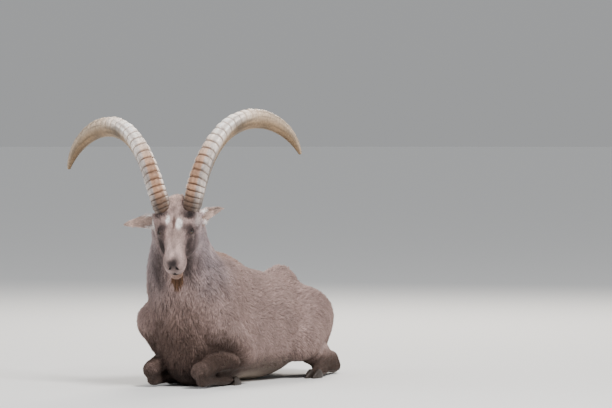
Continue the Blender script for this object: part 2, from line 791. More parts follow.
def swollen_copy(node):
    """A copy of a node's mesh, a little larger so that it runs into its neighbours."""
    form = bmesh.new()
    form.from_mesh(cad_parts[node].data)
    bmesh.ops.remove_doubles(form, verts=form.verts, dist=1e-6)
    form.normal_update()
    for vertex in form.verts:
        vertex.co += vertex.normal * SWELL * MM
    return from_form(node + "_flesh", form)


def head_shell():
    """The bare head as rings of points where rays from its middle line leave the masses."""
    slant = np.linspace(0, math.pi / 2, HEAD_RINGS)
    angle = 2 * math.pi * np.arange(HEAD_RING_POINTS) / HEAD_RING_POINTS
    ways = np.outer(np.cos(angle), FACE_AXES[:, 0]) + np.outer(np.sin(angle), FACE_AXES[:, 1])
    rings = []
    for z in HEAD_LOWEST - HEAD_HEIGHT * (1 - np.cos(slant)) ** 0.8:
        middle = face_point((0, mix(-66, -48, eased(z, 60, 200)), z))
        reach = np.zeros(HEAD_RING_POINTS)
        for _ in range(24):
            reach -= body_distance(middle + ways * reach[:, None]) * 0.8
        rings.append(middle + ways * np.clip(reach, 4, HEAD_RAY_LIMIT)[:, None])
    start = rings[0].mean(axis=0) + FACE_AXES[:, 2] * 2
    end = rings[-1].mean(axis=0) - FACE_AXES[:, 2] * 2
    return tube_object("head_flesh", rings, start, end)


def refine(mesh, wanted):
    """Halves the quads whose middles are wanted, which is asked in plan millimetres."""
    form = bmesh.new()
    form.from_mesh(mesh)
    form.faces.ensure_lookup_table()
    middles = to_plan(np.array([face.calc_center_median() for face in form.faces]))
    chosen = [form.faces[i] for i in np.flatnonzero(wanted(middles))]
    edges = list({edge for face in chosen for edge in face.edges})
    bmesh.ops.subdivide_edges(form, edges=edges, cuts=1, use_grid_fill=True)
    form.to_mesh(mesh)
    form.free()
    mesh.update()


def on_head(p):
    """Close to the masses of the head, as far back as the nape."""
    return (blended(HEAD_MASSES, to_face(p)) < 14) & (to_face(p)[:, 2] > -75)


def on_face(p):
    q = to_face(p)
    return on_head(p) & (q[:, 2] > 34)


def on_fine_face(p):
    q = to_face(p)
    eye = np.minimum(*[np.linalg.norm(p - eye_centre(sign), axis=1) for sign in SIDES.values()])
    muzzle = (q[:, 2] > 198) | ((q[:, 2] > 150) & (mouth_distance(q) < 6))
    return on_head(p) & ((eye < 30) | muzzle)


def ear_shell(side):
    """An ear as a leaf rolled into a cup, with a wall, its opening to the front."""
    root, along, opening, upward = ear_frame(side)
    outer, inner = np.linspace(-1, 1, EAR_RING_HALF), np.linspace(0.95, -0.95, EAR_RING_HALF)
    rings = []
    for t in np.linspace(0, 1, EAR_RINGS):
        width = EAR_HALF_WIDTH * min(mix(0.74, 1.08, eased(t, 0, 0.34)), 1.42 * (1.03 - t) ** 0.62)
        curl = math.radians(mix(*EAR_CURL, eased(t, 0.02, 0.55)))
        radius = width / math.sin(min(curl, math.pi / 2))
        middle = root + along * EAR_LENGTH * t - upward * EAR_DROOP * t * t + opening * (radius * 0.5 - 4)
        ripple = 0.8 * math.sin(t * 17) * t
        angle = np.concatenate([outer, inner]) * curl
        reach = np.repeat([radius, radius - mix(EAR_WALL, EAR_TIP_WALL, t)], EAR_RING_HALF)
        reach = reach + ripple * np.abs(angle) / curl
        rings.append(middle + np.outer(np.sin(angle) * reach, upward)
                     - np.outer(np.cos(angle) * reach, opening))
    start = root - along * 4
    end = root + along * (EAR_LENGTH + 2) - upward * EAR_DROOP
    return tube_object(f"ear_{side}_flesh", rings, start, end)


def unwrap(obj, corner, size):
    """An unwrap of the object's own shape, in a part of its map that starts at corner."""
    obj.data.uv_layers.new(name="OFBake")
    bpy.ops.object.select_all(action="DESELECT")
    bpy.context.view_layer.objects.active = obj
    obj.select_set(True)
    bpy.ops.object.mode_set(mode="EDIT")
    bpy.ops.mesh.select_all(action="SELECT")
    bpy.ops.uv.smart_project(angle_limit=math.radians(66), island_margin=0.002)
    bpy.ops.object.mode_set(mode="OBJECT")
    obj.select_set(False)
    layer = obj.data.uv_layers["OFBake"].data
    uv = read(layer, "uv", 2) * size + np.array(corner)
    layer.foreach_set("uv", uv.astype(np.float32).ravel())


def sculpted(mesh, rounds):
    """Points of the skin drawn onto the masses at the coat's depth, with the legs kept where they are."""
    points = mesh_points(mesh)
    depth = coat_depth(points)
    hold = 1 - eased(np.abs(body_distance(points) + depth), 7, 14)
    return mix(points, settled(points, -depth, rounds), hold[:, None])


def make_skin(voxel):
    """The whole skin: body and head as one surface, refined and sculpted, and the ears."""
    body = joined("skin", [swollen_copy(node) for node in FLESH] + [head_shell()])
    mesh = remeshed(body, voxel).data
    points = mesh_points(mesh)
    hold = 1 - eased(np.abs(body_distance(points)), 8, 14)
    edges = mesh_edges(mesh)
    points = relaxed(points, edges, 0.5 * (1 - 0.6 * hold), 4)
    set_points(mesh, points)
    depth = coat_depth(points)
    inward = points - mesh_normals(mesh) * depth[:, None]
    points = mix(inward, settled(points, -depth, 3), hold[:, None])
    set_points(mesh, relaxed(points, edges, np.full(len(points), 0.5), 3))
    unwrap(body, (0.0, 0.0), (0.88, 1.0))
    for wanted in (on_head, on_face, on_fine_face):
        refine(mesh, wanted)
        set_points(mesh, sculpted(mesh, 2))
    points = mesh_points(mesh)
    rise = face_relief(to_face(points)) * on_head(points)
    points = with_lids(points + body_slope(points) * rise[:, None])
    points[:, 2] = np.maximum(points[:, 2], 0.6)
    set_points(mesh, points)
    ears = joined("ears", [ear_shell(side) for side in SIDES])
    unwrap(ears, (0.885, 0.0), (0.11, 0.11))
    skin = joined("skin", [body, ears])
    skin.data.update()
    set_colours(skin.data, skin_colour(mesh_points(skin.data)))
    skin.data.materials.append(skin_material())
    return skin


def skin_colour(points):
    """The coat's markings, darker where the skin is bare: lid rims, nostrils, nose and mouth."""
    on_ear, inside = near_ear(points)
    colour = coat_colour(points) * mix(0.72, 1.1, on_ear * inside)[:, None]
    q = to_face(points)
    head = on_head(points)
    lids = head * (1 - eased(eye_gap(points), 1.5, 4.0))
    nostril = head * eased(nostril_nearness(q), -0.5, 0.1)
    wide = 4.5 * eased(q[:, 2], 200, 218)
    mouth = head * (1 - eased(mouth_distance(q) - wide, 2.0, 4.4)) * (q[:, 2] > 150)
    for weight, tint in ((lids, LID_DARK), (nostril, BARE_DARK), (mouth, MOUTH_DARK)):
        colour = mix(colour, linear(tint), weight[:, None])
    return colour


# Coat: thousands of thin bent tufts over the skin.

TUFT_SINK = 1.4
TUFT_RISE = 1.45
TUFT_PATCH = 0.0014
MOST_TRIANGLES = 200000


def tuft_mesh(name, roots, way, up, length, width, lift, colours, uv, rings=2, droop=0.45):
    """Joined three-sided tufts. Each is rooted in the skin, bends down again and ends in a point."""
    side = unit(np.cross(way, up))
    rise, run = np.sin(lift)[:, None], np.cos(lift)[:, None]
    layers, tints, places = [], [], []
    for k in range(rings + 1):
        t = k / rings
        bow = TUFT_RISE * t - droop * TUFT_RISE * t * t
        centre = roots + length[:, None] * (way * run * t + up * rise * bow)
        if k == 0:
            centre = centre - up * TUFT_SINK
        half = (width * 0.5 * (1 - 0.25 * t))[:, None]
        high = (width * 0.32 * (1 - 0.3 * t))[:, None]
        shade = mix(np.clip(1 - 0.014 * length, 0.6, 0.95), 1.08, t ** 0.8)[:, None]
        corners, spots = [centre], [0.0]
        if k < rings:
            corners = [centre - side * half, centre + side * half, centre + up * high]
            spots = [-TUFT_PATCH, TUFT_PATCH, 0.0]
        layers += corners
        tints += [colours * shade] * len(corners)
        places += [uv + arr(x * (1 - 0.5 * t), 2 * TUFT_PATCH * t - TUFT_PATCH) for x in spots]
    points = np.stack(layers, axis=1).reshape(-1, 3)
    points[:, 2] = np.maximum(points[:, 2], 0.8)
    one = [(0, 1, 2)]
    for k in range(rings - 1):
        for j in range(3):
            a, b = 3 * k + j, 3 * k + (j + 1) % 3
            one += [(a, a + 3, b), (b, a + 3, b + 3)]
    tip = 3 * rings
    one += [(tip - 3 + j, tip, tip - 3 + (j + 1) % 3) for j in range(3)]
    faces = (np.arange(len(roots))[:, None, None] * (tip + 1) + np.array(one)[None]).reshape(-1, 3)
    if len(faces) >= MOST_TRIANGLES:
        raise RuntimeError(f"{name} has {len(faces)} triangles")
    tint = np.clip(np.stack(tints, axis=1).reshape(-1, 3), 0, 1)
    obj = triangle_object(name, points, faces, coat_material(), tint)
    set_uv(obj.data, np.stack(places, axis=1).reshape(-1, 2))
    return obj


def skin_samples(skin, spread, rng):
    """Roots spread evenly over the skin, closer where the tufts are thin: places, normals, map."""
    mesh = skin.data
    mesh.calc_loop_triangles()
    loops = read(mesh.loop_triangles, "loops", 3, np.int32)
    corners = read(mesh.loop_triangles, "vertices", 3, np.int32)
    uv = read(mesh.uv_layers["OFBake"].data, "uv", 2)
    points, normals = mesh_points(mesh), mesh_normals(mesh)
    tri = points[corners]
    area = np.linalg.norm(np.cross(tri[:, 1] - tri[:, 0], tri[:, 2] - tri[:, 0]), axis=1) / 2
    _, _, width, _ = coat_lie(tri.mean(axis=1))
    share = np.cumsum(area / (width * spread) ** 2)
    count = int(share[-1])
    pick = np.searchsorted(share, (np.arange(count) + rng.random(count) * 0.8) * share[-1] / count)
    pick = np.clip(pick, 0, len(tri) - 1)
    a, b = np.sqrt(rng.random(count)), rng.random(count)
    weight = np.column_stack([1 - a, a * (1 - b), a * b])[:, :, None]
    place = (tri[pick] * weight).sum(axis=1)
    normal = unit((normals[corners[pick]] * weight).sum(axis=1))
    return place, normal, (uv[loops[pick]] * weight).sum(axis=1)


HORN_PATCH = (22, 31)


def bare(p, normal):
    """Where no tuft grows: eyes, nostrils, lips, under the horns and where the body lies down."""
    q = to_face(p)
    lips = (mouth_distance(q) < 3.2 + 5.8 * (q[:, 2] > 206)) & (q[:, 2] > 150)
    face = (eye_gap(p) < 2.2) | (nostril_nearness(q) > -0.35) | lips
    horn = np.zeros(len(p), bool)
    for sign in SIDES.values():
        local = mirrored((p - HEAD_PLACE) @ HORN_AXES, sign)[:, :2] - (HORN_SPACING, HORN_SET_BACK)
        horn |= np.hypot(*(local / HORN_PATCH).T) < 1
    on_ear, inside = near_ear(p)
    cup = (on_ear > 0.5) & (inside > 0.5)
    lying = (p[:, 2] < 16) | ((normal[:, 2] < -0.75) & (p[:, 2] < 110) & (np.abs(p[:, 0]) < 150))
    return (on_head(p) & (face | (horn & (q[:, 2] < 40)))) | cup | lying


COAT_PIECES = {
    "coat_ears": lambda p: near_ear(p)[0] > 0.02,
    "coat_face": on_face,
    "coat_head": on_head,
    "coat_neck": lambda p: (p[:, 1] < -270) & (p[:, 2] > 300),
    "coat_shoulder_left": lambda p: (p[:, 1] < -130) & (p[:, 0] >= 0),
    "coat_shoulder_right": lambda p: p[:, 1] < -130,
    "coat_ribs_left": lambda p: (p[:, 1] < 130) & (p[:, 0] >= 0),
    "coat_ribs_right": lambda p: p[:, 1] < 130,
    "coat_rump_left": lambda p: p[:, 0] >= 0,
    "coat_rump_right": lambda p: np.ones(len(p), bool),
}


def clump_pull(place, rng, spacing):
    """The way from each place to the middle of its nearest clump."""
    centres = place[rng.random(len(place)) < 1.0 / spacing]
    tree = KDTree(len(centres))
    for i, centre in enumerate(centres):
        tree.insert(centre, i)
    tree.balance()
    return centres[[tree.find(point)[1] for point in place]] - place


def make_coat(skin, settings):
    """All pieces of the coat, each tuft in the first piece that its root belongs to."""
    rng = np.random.default_rng(settings.seed)
    place, normal, uv = skin_samples(skin, settings.spread, rng)
    keep = ~bare(place, normal)
    place, normal, uv = place[keep], normal[keep], uv[keep]
    way, length, width, lift = coat_lie(place)
    way = unit(across_of(way, normal))
    pull = clump_pull(place, rng, settings.clump_size)
    wander = np.column_stack([soft_noise(place, 60.0, 11 + axis) for axis in range(3)])
    way = way + 0.22 * wander + 0.16 * rng.normal(size=place.shape)
    way = way + settings.clump * pull / length[:, None]
    way = unit(across_of(way, normal))
    length = length * settings.length * rng.uniform(0.72, 1.18, len(place))
    width = width * rng.uniform(0.75, 1.15, len(place))
    lift = np.radians(lift * rng.uniform(0.6, 1.35, len(place)))
    tone = 1 + 0.10 * rng.normal(size=len(place)) + 0.06 * soft_noise(place, 20.0, 17)
    colour = coat_colour(place) * np.clip(tone, 0.6, 1.4)[:, None]
    tufts = (place, way, normal, length, width, lift, colour, uv)
    left = np.ones(len(place), bool)
    for name, belongs in COAT_PIECES.items():
        mine = left & belongs(place)
        left &= ~mine
        finish_piece(tuft_mesh(name, *(values[mine] for values in tufts)), "coat")


# Beard, lashes and the long hairs in the ears.

BEARD_COLOUR = arr(98, 70, 52)
BEARD_HALF_WIDTH = 14
LASH_LENGTH = 9.0
LASH_WIDTH = 0.9
LASHES = 34
EAR_HAIRS = 420
EAR_HAIR_REACH = 80


def make_beard(skin, settings):
    """Long strands that hang from the chin, shorter to its sides."""
    rng = np.random.default_rng(settings.seed)
    points, normals = mesh_points(skin.data), mesh_normals(skin.data)
    q = to_face(points)
    chin = (np.abs(q[:, 0]) < BEARD_HALF_WIDTH) & (q[:, 1] < -86) & (q[:, 2] > 158) & (q[:, 2] < 212)
    chosen = np.flatnonzero(chin & on_head(points))
    chosen = chosen[rng.choice(len(chosen), settings.strands)]
    roots, normals = points[chosen] + rng.normal(size=(settings.strands, 3)) * 0.8, normals[chosen]
    q = to_face(roots)
    down = np.tile(arr(0, 0, -1), (len(roots), 1))
    way = unit(down + 0.3 * normals + LEVEL_HEAD @ arr(0, 0.12, 0) + 0.09 * rng.normal(size=roots.shape))
    up = unit(across_of(-np.tile(LEVEL_HEAD @ arr(0, 1, 0), (len(roots), 1)), way))
    shorter = 1 - 0.5 * np.abs(q[:, 0]) / BEARD_HALF_WIDTH
    length = settings.length / MM * rng.uniform(0.45, 1.0, len(roots)) * shorter
    width = rng.uniform(1.6, 2.8, len(roots))
    lift = np.radians(rng.uniform(-4, 14, len(roots)))
    colour = linear(BEARD_COLOUR * (1 + 0.14 * rng.normal(size=(len(roots), 1))))
    uv = np.column_stack([0.5 + q[:, 0] / 60, 0.5 + (q[:, 2] - 186) / 90])
    beard = tuft_mesh("beard", roots, way, up, length, width, lift, colour, uv, rings=5, droop=1.3)
    finish_piece(beard, "coat")


def make_lashes():
    """A row of lashes that stand out from each upper lid."""
    rng = np.random.default_rng(21)
    for side, sign in SIDES.items():
        centre, axes = eye_centre(sign), eye_axes(sign)
        u = np.linspace(-0.8, 0.85, LASHES) * LID_HALF_LENGTH
        v = UPPER_LID_HEIGHT * np.sqrt(1 - (np.abs(u) / LID_HALF_LENGTH) ** 2.4) + 1.2
        depth = np.sqrt(LID_TOP ** 2 - u ** 2 - v ** 2)
        roots = centre + np.column_stack([u, v, depth - 1.0]) @ axes.T
        out = np.column_stack([0.5 * u / LID_HALF_LENGTH, np.full(LASHES, 0.25), np.ones(LASHES)])
        way = unit(unit(out) @ axes.T + 0.08 * rng.normal(size=roots.shape))
        up = unit(across_of(np.tile(axes[:, 1], (LASHES, 1)), way))
        length = LASH_LENGTH * rng.uniform(0.7, 1.0, LASHES)
        colour = np.tile(linear(LID_DARK), (LASHES, 1))
        uv = np.column_stack([np.linspace(0.1, 0.9, LASHES), np.full(LASHES, 0.5)])
        lashes = tuft_mesh(f"lashes_{side}", roots, way, up, length, np.full(LASHES, LASH_WIDTH),
                           np.full(LASHES, -0.15), colour, uv)
        finish_piece(lashes, "coat")


def make_ear_hairs(skin):
    """Long pale hairs along the inside of both ears."""
    rng = np.random.default_rng(22)
    points, normals = mesh_points(skin.data), mesh_normals(skin.data)
    on_ear, inside = near_ear(points)
    reach = np.minimum(*[np.linalg.norm(points - ear_frame(side)[0], axis=1) for side in SIDES])
    chosen = np.flatnonzero((on_ear > 0.6) & (inside > 0.3) & (reach < EAR_HAIR_REACH))
    chosen = chosen[rng.integers(0, len(chosen), EAR_HAIRS)]
    roots, normals = points[chosen], normals[chosen]
    way = unit(across_of(coat_lie(roots)[0] + 0.35 * rng.normal(size=roots.shape), normals))
    length, width = rng.uniform(12, 24, EAR_HAIRS), rng.uniform(1.0, 1.7, EAR_HAIRS)
    colour = linear(EAR_INSIDE) * rng.uniform(0.7, 1.05, (EAR_HAIRS, 1))
    uv = rng.random((EAR_HAIRS, 2)) * 0.98 + 0.01
    hairs = tuft_mesh("ear_hairs", roots, way, normals, length, width, np.full(EAR_HAIRS, 0.3), colour, uv)
    finish_piece(hairs, "coat")


# Horns.

HORN_TURN = math.radians(20.2)
HORN_ROLL = math.radians(3)
HORN_AXES = turn("Z", HORN_TURN) @ turn("Y", -HORN_ROLL)
HORN_LENGTH = 724.0
HORN_HALF_WIDTH = 30.0
HORN_HALF_DEPTH = 42.0
HORN_SPACING = 52.5
HORN_SET_BACK = 33.0
HORN_ROOT = 27.0
HORN_SPLAY = math.radians(15.2)
HORN_LEAN = math.radians(5)
HORN_BEND = math.radians(146)
HORN_SWEEP = {"left": (math.radians(5), math.radians(51)), "right": (0.0, math.radians(68))}
BEND_AT_BASE = 1.22
BEND_AT_TIP = 0.62
HORN_MIDDLE_SHARE = 0.8
HORN_TIP_SHARE = 0.16
HORN_RIDGES = 26
HORN_RINGS = 560
HORN_RING_POINTS = 48
HORN_LINKS = 1200
ROOT_NARROWING = 0.16


def horn_directions(t, side):
    """Along the horn and towards its front, at shares t of its length."""
    rise = arr(math.sin(HORN_SPLAY), -math.sin(HORN_LEAN) * math.cos(HORN_SPLAY),
               math.cos(HORN_LEAN) * math.cos(HORN_SPLAY))
    middle = 1 - BEND_AT_BASE - BEND_AT_TIP
    bend = (HORN_BEND * (BEND_AT_BASE * t + middle * t ** 2 + BEND_AT_TIP * t ** 3))[:, None]
    start, twist = HORN_SWEEP[side]
    sweep = start + twist * t
    back = np.column_stack([np.sin(sweep), np.cos(sweep), np.zeros(len(t))])
    back = unit(across_of(back, rise))
    return rise * np.cos(bend) + back * np.sin(bend), rise * np.sin(bend) - back * np.cos(bend)


def ridge_places():
    """Where each ridge starts, with one more place where the last one ends."""
    places, reach = [], 4.0 - HORN_ROOT
    for i in range(HORN_RIDGES + 1):
        places.append(reach)
        reach += mix(15, 30, eased(i, 0, 12))
    return np.array(places)


def ridge_profile(reach, rng):
    """The height of the ridges from 0 in the grooves to about 1 on the crests."""
    places = ridge_places()
    cell = np.clip(np.searchsorted(places, reach) - 1, 0, HORN_RIDGES - 1)
    share = np.clip((reach - places[cell]) / (places[cell + 1] - places[cell]), 0, 1)
    high = rng.uniform(0.75, 1.2, HORN_RIDGES)[cell]
    wall = eased(share, 0.0, 0.2) * (1 - eased(share, 0.8, 1.0))
    return wall * (0.55 + 0.45 * np.sin(math.pi * share ** 0.8)) * high


def horn_course(reach, side):
    """The middle of the horn at each reach, its directions along and to the front, and its end."""
    links, _ = horn_directions((np.arange(HORN_LINKS) + 0.5) / HORN_LINKS, side)
    path = np.vstack([np.zeros(3), np.cumsum(links, axis=0) * HORN_LENGTH / HORN_LINKS])
    path = arr(HORN_SPACING, HORN_SET_BACK, 0) + path
    share = np.clip(reach, 0, None) / HORN_LENGTH
    along, front = horn_directions(share, side)
    place = share * HORN_LINKS
    at = np.column_stack([np.interp(place, np.arange(HORN_LINKS + 1), path[:, k]) for k in range(3)])
    return at + along * np.minimum(reach, 0)[:, None], along, front, path[-1]


def horn_taper(reach):
    """The thickness of the horn at each reach, against the one at its base."""
    share = np.clip(reach, 0, None) / HORN_LENGTH
    taper = mix(1.0, HORN_MIDDLE_SHARE, eased(share, 0, 0.45)) * mix(1 - share ** 5.5, 1.0, HORN_TIP_SHARE)
    return taper * np.sqrt(1 - np.clip((reach - HORN_LENGTH + 6) / 7, 0, 0.98) ** 2)


def horn_noise(reach, x, y, stretch, radius, scale, seed):
    """Soft noise over the rings of a horn, as on a rod of this radius."""
    parts = np.broadcast_arrays(reach[:, None] * stretch, x[None] * radius, y[None] * radius)
    return soft_noise(np.stack(parts, -1).reshape(-1, 3), scale, seed).reshape(parts[0].shape)


def make_horn(side, settings):
    """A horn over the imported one: curved, tapered, with knobbed ridges across its front."""
    sign = SIDES[side]
    rng = np.random.default_rng(5 + sign)
    reach = np.linspace(-HORN_ROOT + 2, HORN_LENGTH - 1.0, HORN_RINGS)
    at, along, front, end = horn_course(reach, side)
    across = np.cross(along, front)
    taper = horn_taper(reach)
    angle = 2 * math.pi * np.arange(HORN_RING_POINTS) / HORN_RING_POINTS
    x = np.sign(np.cos(angle)) * np.abs(np.cos(angle)) ** 0.72
    y = np.sign(np.sin(angle)) * np.abs(np.sin(angle)) ** 0.82
    waver = 2.4 * np.sin(angle * 2 + 0.02 * reach[:, None]) * np.maximum(-y, 0.3)
    waver = waver + 1.6 * horn_noise(reach, x, y, 0.7, 25, 9.0, 41)
    profile = ridge_profile(reach[:, None] + waver, rng)
    fade = eased(reach, -90, 60) * (1 - 0.75 * eased(reach, HORN_LENGTH * 0.5, HORN_LENGTH * 0.95))
    rise = profile * eased(y, -0.35, 0.6) * (fade * taper)[:, None] * settings.ridge_rise / MM
    rise = rise + 0.7 * horn_noise(reach, x, y, 0.5, 30, 14.0, 31) * taper[:, None]
    thick = (taper * (1 - ROOT_NARROWING * eased(-reach, 2, 24)))[:, None]
    wide = HORN_HALF_WIDTH * thick * np.where(y < 0, 1 - 0.18 * y * y, 1.0)
    deep = HORN_HALF_DEPTH * thick
    local = (at[:, None] + across[:, None] * (x * (wide + rise * 0.5))[..., None]
             + front[:, None] * (y * deep + rise * np.maximum(y, 0))[..., None])
    place = mirrored(HORN_AXES, sign).T
    root = HEAD_PLACE + (at[0] - along[0] * 2) @ place
    rough = horn_noise(reach, x, y, 0.05, 26, 4.0, 37) + horn_noise(reach, x, y, 0.6, 20, 30.0, 38)
    colour = horn_colour(reach[:, None], x[None], y[None], profile, rough)
    colour = np.vstack([colour.reshape(-1, 3), colour[0, 0], colour[-1, 0]])
    horn = tube_object(f"horn_{side}_piece", HEAD_PLACE + local @ place, root, HEAD_PLACE + end @ place,
                       horn_material(), colour)
    finish_piece(horn, "horn", f"horn_{side}")


def horn_colour(reach, x, y, profile, roughly):
    """Grey tan, orange brown on the front panel near the base, with dark grooves and pale edges."""
    shape = np.broadcast(reach, x, profile).shape
    ones = np.ones(shape)
    colour = np.broadcast_to(arr(244, 232, 222), shape + (3,))
    low = 1 - eased(reach, 110, 260)
    flank = eased(np.abs(x), 0.5, 0.95) * (1 - eased(np.abs(y), 0.5, 0.95)) * ones
    arch = eased(reach, 150, 350)
    rear = eased(-y, mix(-0.45, -0.95, arch), mix(0.35, 0.15, arch)) * ones
    panel = eased(y, 0.4, 0.7) * (1 - eased(np.abs(x + 0.22), 0.42, 0.66)) * low
    seam = eased(y, 0.1, 0.5) * np.exp(-((x - 0.44) / 0.13) ** 2) * (0.4 + 0.6 * low) * ones
    keel = eased(y, 0.2, 0.6) * np.exp(-((np.abs(x) - 0.82) / 0.12) ** 2) * ones
    groove = (1 - eased(profile, 0.08, 0.6)) * eased(y, 0.0, 0.6) * (1 - 0.65 * eased(reach, 90, 420))
    groove = groove * (0.8 + 0.5 * roughly)
    base = (1 - eased(reach, -8, 55)) * ones
    far = eased(reach, 330, 470) * ones
    layers = [
        (low * 0.55, (154, 139, 130)),
        (flank * 0.5, (176, 170, 170)),
        (rear * 0.85, (98, 74, 46)),
        (panel * 0.8, (150, 108, 80)),
        (seam * 0.65, (112, 104, 104)),
        (keel * 0.6, (222, 210, 200)),
        (groove * 0.8, (84, 63, 50)),
        (base * 0.65, (72, 57, 49)),
        (far * eased(y, -0.6, 0.4) * 0.75, (146, 126, 104)),
    ]
    for weight, tint in layers:
        colour = mix(colour, arr(*tint), weight[..., None])
    return linear(colour * (0.97 + 0.24 * roughly)[..., None])


# Eyes.

EYE_RING_POINTS = 96
EYE_FRONT_RINGS = 50
EYE_BACK_RINGS = 20
EYE_CLEARANCE = 0.4
EYE_BULGE = 0.9
EYE_WHITE = arr(70, 52, 46)
IRIS_EDGE = arr(48, 30, 20)
PUPIL = arr(10, 9, 10)
PUPIL_HALF_LENGTH = 7.6
PUPIL_HALF_HEIGHT = 3.3


def make_eye(side, settings):
    """An eyeball with a clear bulge, an amber ring and a level oblong pupil."""
    sign = SIDES[side]
    centre, axes = eye_centre(sign), eye_axes(sign)
    polar = np.concatenate([np.linspace(0.02, 1.1, EYE_FRONT_RINGS),
                            np.linspace(1.14, math.pi - 0.05, EYE_BACK_RINGS)])
    turnround = 2 * math.pi * np.arange(EYE_RING_POINTS) / EYE_RING_POINTS
    p, a = np.meshgrid(polar, turnround, indexing="ij")
    globe = np.stack([np.sin(p) * np.cos(a), np.sin(p) * np.sin(a), np.cos(p)], -1)
    bulge = EYE_BULGE * (1 - eased(p, 0.35, 0.95))
    local = globe * (EYE_RADIUS - EYE_CLEARANCE + bulge)[..., None]
    forward = unit(across_of(FACE_AXES @ arr(0, math.cos(FACE_LEAN), math.sin(FACE_LEAN)), axes[:, 2]))
    level = axes.T @ forward
    flat = globe * EYE_RADIUS
    out = np.hypot(flat[..., 0], flat[..., 1])
    u = flat[..., 0] * level[0] + flat[..., 1] * level[1]
    v = flat[..., 1] * level[0] - flat[..., 0] * level[1]
    pupil = 1 - eased(np.sqrt((u / PUPIL_HALF_LENGTH) ** 4 + (v / PUPIL_HALF_HEIGHT) ** 4), 0.85, 1.1)
    iris = 1 - eased(out, 11.4, 12.6)
    rays = 0.5 + 0.5 * np.sin(a * 37 + 3 * np.sin(a * 5))
    amber = np.array(settings.iris)[:3] * (0.75 + 0.35 * rays[..., None])
    tint = mix(linear(EYE_WHITE), amber, iris[..., None])
    tint = mix(tint, linear(IRIS_EDGE), (eased(out, 9.0, 12.0) * iris * 0.7)[..., None])
    tint = mix(tint, linear(PUPIL), (pupil * (globe[..., 2] > 0))[..., None])
    top = centre + axes[:, 2] * (EYE_RADIUS + 0.5)
    bottom = centre - axes[:, 2] * (EYE_RADIUS - EYE_CLEARANCE)
    colour = np.vstack([tint.reshape(-1, 3), tint[0, 0], tint[-1, 0]])
    eye = tube_object(f"eye_{side}_piece", centre + local @ axes.T, top, bottom, eye_material(), colour)
    finish_piece(eye, "eye", f"eye_{side}")


# Hooves.

HOOF_QUADS = 1.7
HOOF_SOLE = 1.2


def make_hoof(node):
    """A claw with its edges worn round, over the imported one."""
    obj = remeshed(linked(node + "_piece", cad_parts[node].data.copy()), HOOF_QUADS * MM)
    points = mesh_points(obj.data)
    low = points[:, 2].min()
    points = relaxed(points, mesh_edges(obj.data), np.full(len(points), 0.6), 5)
    points[:, 2] = np.maximum(points[:, 2], low)
    points = np.where(points[:, 2:3] < low + HOOF_SOLE, points * arr(1, 1, 0) + arr(0, 0, low), points)
    set_points(obj.data, points)
    obj.data.materials.clear()
    obj.data.materials.append(hoof_material())
    finish_piece(obj, "hoof", node)


# Materials.

def new_material(name):
    """A material with its shader, ready for links: (material, nodes, links, shader)."""
    if name in bpy.data.materials:
        return bpy.data.materials[name], None, None, None
    material = bpy.data.materials.new(name)
    material.use_nodes = True
    nodes, links = material.node_tree.nodes, material.node_tree.links
    return material, nodes, links, nodes["Principled BSDF"]


def speckle_group():
    """A colour made a little lighter and darker in fine specks, and the specks' height."""
    if "Speckle" in bpy.data.node_groups:
        return bpy.data.node_groups["Speckle"]
    group = bpy.data.node_groups.new("Speckle", "ShaderNodeTree")
    sockets = group.interface
    sockets.new_socket("Color", in_out="INPUT", socket_type="NodeSocketColor")
    sockets.new_socket("Scale", in_out="INPUT", socket_type="NodeSocketFloat")
    sockets.new_socket("Amount", in_out="INPUT", socket_type="NodeSocketFloat")
    sockets.new_socket("Color", in_out="OUTPUT", socket_type="NodeSocketColor")
    sockets.new_socket("Height", in_out="OUTPUT", socket_type="NodeSocketFloat")
    nodes, links = group.nodes, group.links
    start, end = nodes.new("NodeGroupInput"), nodes.new("NodeGroupOutput")
    place = nodes.new("ShaderNodeTexCoord")
    noise = nodes.new("ShaderNodeTexNoise")
    noise.inputs["Detail"].default_value = 3.0
    spread = nodes.new("ShaderNodeMapRange")
    spread.inputs["From Min"].default_value = 0.3
    spread.inputs["From Max"].default_value = 0.7
    spread.inputs["To Min"].default_value = -1.0
    change = nodes.new("ShaderNodeMath")
    change.operation = "MULTIPLY_ADD"
    change.inputs[2].default_value = 1.0
    tint = nodes.new("ShaderNodeVectorMath")
    tint.operation = "SCALE"
    links.new(place.outputs["Object"], noise.inputs["Vector"])
    links.new(start.outputs["Scale"], noise.inputs["Scale"])
    links.new(noise.outputs["Fac"], spread.inputs["Value"])
    links.new(spread.outputs["Result"], change.inputs[0])
    links.new(start.outputs["Amount"], change.inputs[1])
    links.new(start.outputs["Color"], tint.inputs[0])
    links.new(change.outputs["Value"], tint.inputs["Scale"])
    links.new(tint.outputs["Vector"], end.inputs["Color"])
    links.new(noise.outputs["Fac"], end.inputs["Height"])
    return group


